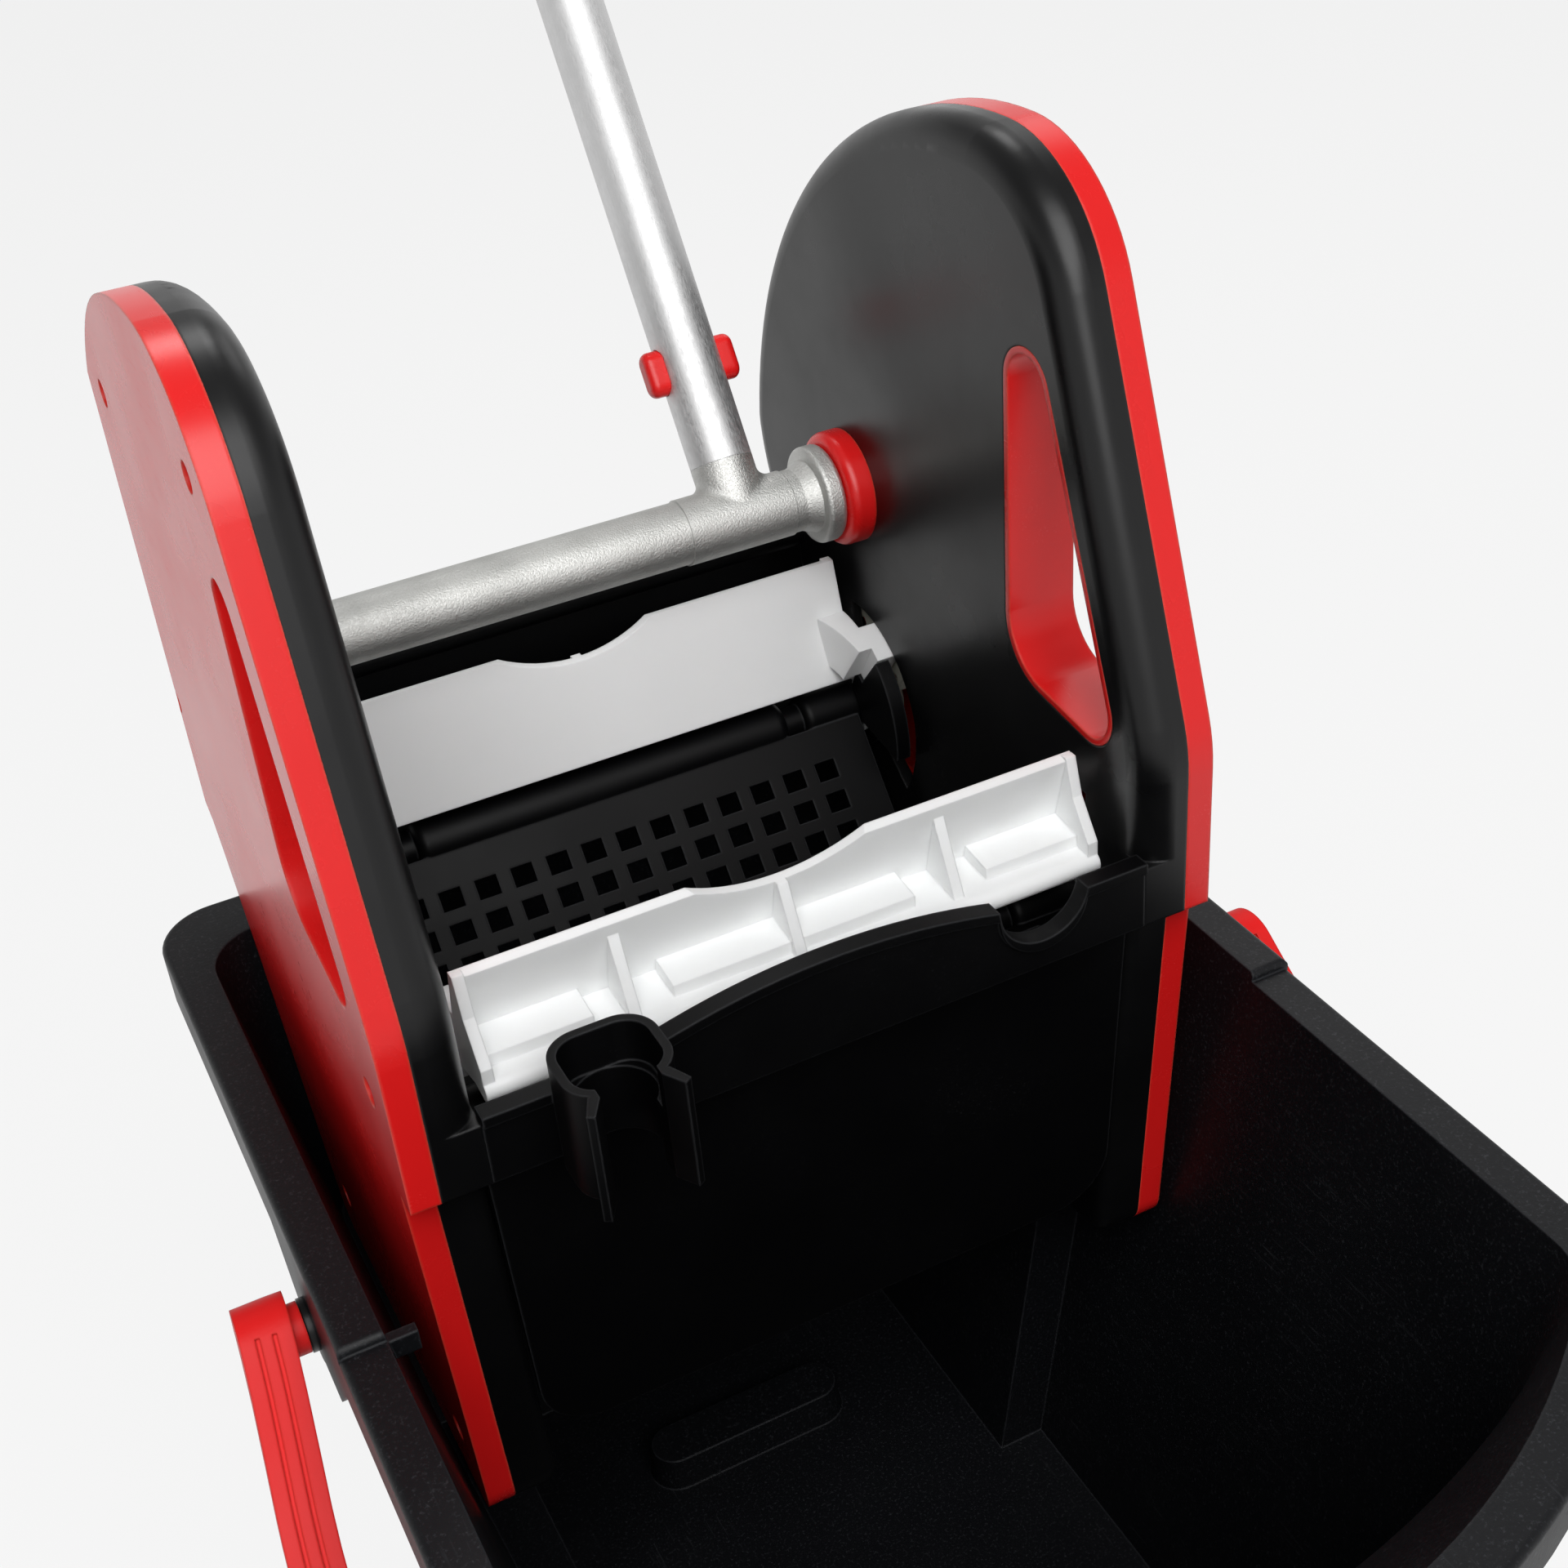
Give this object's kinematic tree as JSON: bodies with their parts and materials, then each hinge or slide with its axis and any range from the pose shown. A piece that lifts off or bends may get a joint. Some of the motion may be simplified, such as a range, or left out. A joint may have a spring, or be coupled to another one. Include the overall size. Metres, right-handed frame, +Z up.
{
  "type": "mop bucket trolley",
  "caption": "Tapered mop bucket on swivel castors with a lift-out lever press: geared jaws squeeze a flat or string mop over a perforated trough; with carrying bail and pole clip.",
  "frame": {"origin": "on the floor, under the middle of the whole object's bounding box at rest", "axes": "+X to the right seen from the open (front) end of the bucket, +Y to the rear where the press and lever are, +Z up"},
  "size_m": [0.4305, 0.716, 0.9234],
  "materials": {
    "black_plastic": "satin moulded polypropylene",
    "red_plastic": "glossy moulded polypropylene",
    "white_plastic": "milky polyethylene",
    "gear_plastic": "moulded acetal",
    "cast_aluminium": "blasted casting",
    "tube_aluminium": "satin anodised tube",
    "steel": "zinc plated",
    "wheel_rubber": "grey-black solid tyre"
  },
  "bodies": {
    "bucket_body": {"bucket": "black_plastic", "bail_pins": "black_plastic", "rear_right_castor_plate": "steel", "rear_left_castor_plate": "steel", "front_right_castor_plate": "steel", "front_left_castor_plate": "steel"},
    "bail_body": {"bail": "red_plastic"},
    "press_body": {"basket": "black_plastic", "front_wall": "black_plastic", "rear_wall": "black_plastic", "left_side_shell": "black_plastic", "right_side_shell": "black_plastic", "left_side_cover": "red_plastic", "right_side_cover": "red_plastic", "left_shaft_bush": "red_plastic", "right_shaft_bush": "red_plastic", "cover_screws": "steel", "idler_pins": "steel"},
    "lever_body": {"cross_shaft": "cast_aluminium", "lever_tube": "tube_aluminium", "lever_grip": "black_plastic", "button_spring": "steel", "left_lever_gear": "gear_plastic", "right_lever_gear": "gear_plastic"},
    "right_button_body": {"right_snap_button": "red_plastic"},
    "left_button_body": {"left_snap_button": "red_plastic"},
    "rear_jaw_body": {"rear_jaw": "white_plastic", "rear_jaw_plates": "black_plastic", "left_rear_jaw_gear": "gear_plastic", "right_rear_jaw_gear": "gear_plastic"},
    "front_jaw_body": {"front_jaw": "white_plastic", "left_front_jaw_gear": "gear_plastic", "right_front_jaw_gear": "gear_plastic"},
    "first_idlers_body": {"left_first_idler_gear": "gear_plastic", "right_first_idler_gear": "gear_plastic"},
    "second_idlers_body": {"left_second_idler_gear": "gear_plastic", "right_second_idler_gear": "gear_plastic"},
    "rear_right_fork_body": {"rear_right_castor_fork": "steel", "rear_right_castor_axle": "steel"},
    "rear_right_wheel_body": {"rear_right_castor_wheel": "wheel_rubber"},
    "rear_left_fork_body": {"rear_left_castor_fork": "steel", "rear_left_castor_axle": "steel"},
    "rear_left_wheel_body": {"rear_left_castor_wheel": "wheel_rubber"},
    "front_right_fork_body": {"front_right_castor_fork": "steel", "front_right_castor_axle": "steel"},
    "front_right_wheel_body": {"front_right_castor_wheel": "wheel_rubber"},
    "front_left_fork_body": {"front_left_castor_fork": "steel", "front_left_castor_axle": "steel"},
    "front_left_wheel_body": {"front_left_castor_wheel": "wheel_rubber"}
  },
  "joints": [
    {"name": "press_lift", "type": "slide", "parent": "bucket_body", "child": "press_body", "axis": [0, 0, 1], "range_m": [0, 0.16]},
    {"name": "bail_swing", "type": "hinge", "parent": "bucket_body", "child": "bail_body", "pos_m": [0, -0.06304, 0.369], "axis": [-1, 0, 0], "range_deg": [0, 110]},
    {"name": "lever_swing", "type": "hinge", "parent": "press_body", "child": "lever_body", "pos_m": [0, 0.09696, 0.53], "axis": [1, 0, 0], "range_deg": [0, 88]},
    {"name": "rear_jaw_swing", "type": "hinge", "parent": "press_body", "child": "rear_jaw_body", "pos_m": [0, 0.09596, 0.431], "axis": [1, 0, 0], "range_deg": [0, 82.5]},
    {"name": "front_jaw_swing", "type": "hinge", "parent": "press_body", "child": "front_jaw_body", "pos_m": [0, -0.06604, 0.431], "axis": [-1, 0, 0], "range_deg": [0, 82.5]},
    {"name": "first_idlers_turn", "type": "hinge", "parent": "press_body", "child": "first_idlers_body", "pos_m": [0, 0.07397, 0.48141], "axis": [-1, 0, 0], "range_deg": [0, 47.14]},
    {"name": "second_idlers_turn", "type": "hinge", "parent": "press_body", "child": "second_idlers_body", "pos_m": [0, 0.00003, 0.44483], "axis": [1, 0, 0], "range_deg": [0, 34.74]},
    {"name": "right_button_press", "type": "slide", "parent": "lever_body", "child": "right_button_body", "axis": [-1, 0, 0], "range_m": [0, 0.0045], "stiffness_N_per_m": 600, "springref_m": -0.003, "deforming": ["button_spring"]},
    {"name": "left_button_press", "type": "slide", "parent": "lever_body", "child": "left_button_body", "axis": [1, 0, 0], "range_m": [0, 0.0045], "stiffness_N_per_m": 600, "springref_m": -0.003, "deforming": ["button_spring"]},
    {"name": "rear_right_castor_swivel", "type": "hinge", "parent": "bucket_body", "child": "rear_right_fork_body", "pos_m": [0.09, 0.05696, 0.104], "axis": [0, 0, 1], "continuous": true},
    {"name": "rear_right_wheel_spin", "type": "hinge", "parent": "rear_right_fork_body", "child": "rear_right_wheel_body", "pos_m": [0.09, 0.08496, 0.0375], "axis": [1, 0, 0], "continuous": true},
    {"name": "rear_left_castor_swivel", "type": "hinge", "parent": "bucket_body", "child": "rear_left_fork_body", "pos_m": [-0.09, 0.05696, 0.104], "axis": [0, 0, 1], "continuous": true},
    {"name": "rear_left_wheel_spin", "type": "hinge", "parent": "rear_left_fork_body", "child": "rear_left_wheel_body", "pos_m": [-0.09, 0.08496, 0.0375], "axis": [1, 0, 0], "continuous": true},
    {"name": "front_right_castor_swivel", "type": "hinge", "parent": "bucket_body", "child": "front_right_fork_body", "pos_m": [0.09, -0.22504, 0.104], "axis": [0, 0, 1], "continuous": true},
    {"name": "front_right_wheel_spin", "type": "hinge", "parent": "front_right_fork_body", "child": "front_right_wheel_body", "pos_m": [0.09, -0.19704, 0.0375], "axis": [1, 0, 0], "continuous": true},
    {"name": "front_left_castor_swivel", "type": "hinge", "parent": "bucket_body", "child": "front_left_fork_body", "pos_m": [-0.09, -0.22504, 0.104], "axis": [0, 0, 1], "continuous": true},
    {"name": "front_left_wheel_spin", "type": "hinge", "parent": "front_left_fork_body", "child": "front_left_wheel_body", "pos_m": [-0.09, -0.19704, 0.0375], "axis": [1, 0, 0], "continuous": true}
  ],
  "couplings": [
    {"joint": "rear_jaw_swing", "follows": "lever_swing", "ratio": 0.9375},
    {"joint": "front_jaw_swing", "follows": "lever_swing", "ratio": 0.9375},
    {"joint": "first_idlers_turn", "follows": "lever_swing", "ratio": 0.53571},
    {"joint": "second_idlers_turn", "follows": "lever_swing", "ratio": 0.39474}
  ]
}
